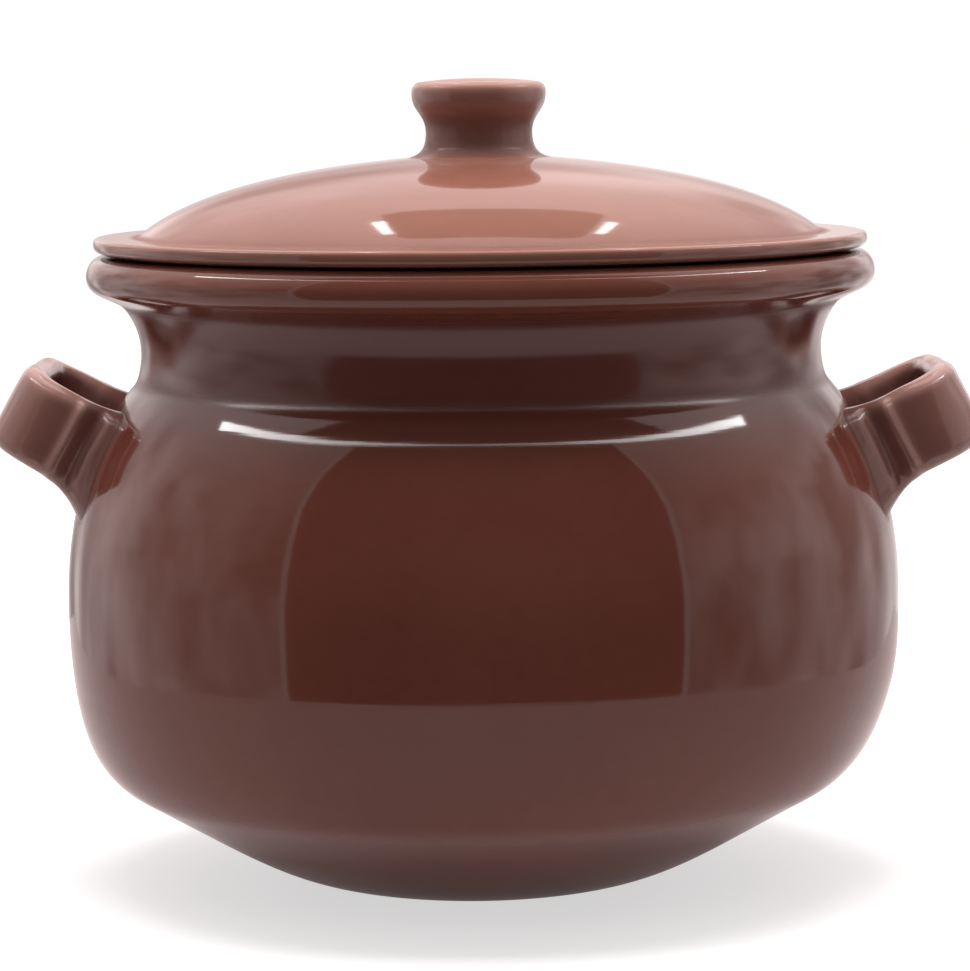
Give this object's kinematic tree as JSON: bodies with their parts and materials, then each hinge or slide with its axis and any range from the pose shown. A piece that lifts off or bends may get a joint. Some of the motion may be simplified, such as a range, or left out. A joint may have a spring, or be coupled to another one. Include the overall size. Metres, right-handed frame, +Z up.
{
  "type": "terracotta cooking pot",
  "caption": "Glazed brown terracotta cooking pot with a full belly, a hollow neck, a rolled rim, loop handles on the shoulder and a loose domed lid with a turned knob.",
  "frame": {"origin": "middle of the flat base, on the surface that the pot stands on", "axes": "+Z up along the pot's axis, X through the two handles with the right handle at +X, -Y towards the viewer"},
  "size_m": [0.2932, 0.248, 0.238],
  "materials": {
    "brown_glaze": "glossy lead-free brown glaze",
    "bare_clay": "matt unglazed red clay"
  },
  "bodies": {
    "pot": {"pot_body": "brown_glaze", "neck_rim": "brown_glaze", "left_handle": "brown_glaze", "right_handle": "brown_glaze"},
    "cover": {"lid": "brown_glaze", "lid_collar": "bare_clay", "lid_knob": "brown_glaze"}
  },
  "joints": [
    {"name": "lid_lift", "type": "slide", "parent": "pot", "child": "cover", "axis": [0, 0, 1], "range_m": [0, 0.12]}
  ]
}
